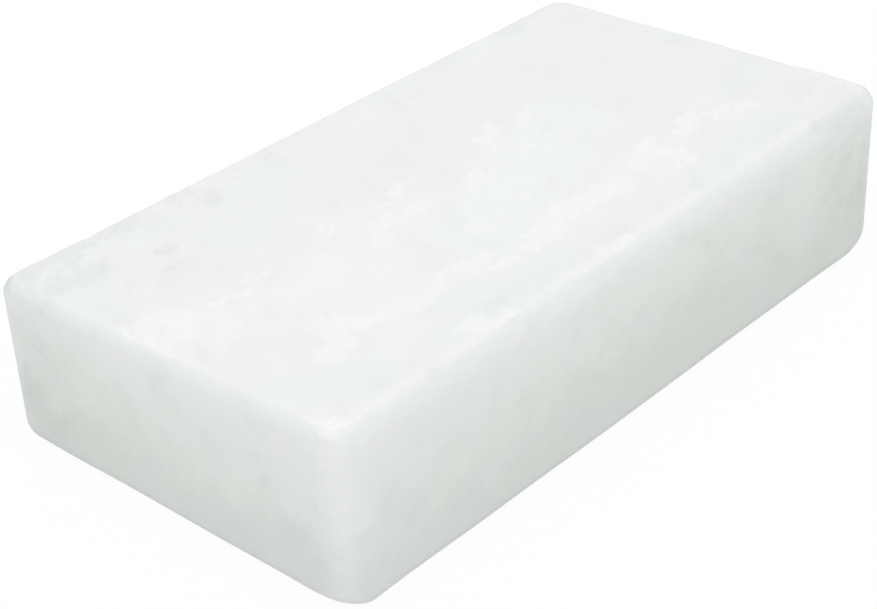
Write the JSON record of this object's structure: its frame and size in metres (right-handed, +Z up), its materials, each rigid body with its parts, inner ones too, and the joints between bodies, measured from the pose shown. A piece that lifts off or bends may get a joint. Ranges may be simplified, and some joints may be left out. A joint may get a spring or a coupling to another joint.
{
  "type": "rock salt brick",
  "caption": "White, cloudy rock salt brick: a sawn rectangular block lying on its broad bed, a little out of square, with all its edges softly rounded.",
  "frame": {"origin": "middle of the brick's box on the plane of its lower bed, where it rests", "axes": "+X along the brick's length, towards its right end; +Y across its width, towards its back; +Z up through its thickness, out of its upper bed"},
  "size_m": [0.2044, 0.1118, 0.0482],
  "materials": {
    "rock_salt": "satin"
  },
  "bodies": {
    "root": {"salt_brick": "rock_salt"}
  },
  "joints": []
}
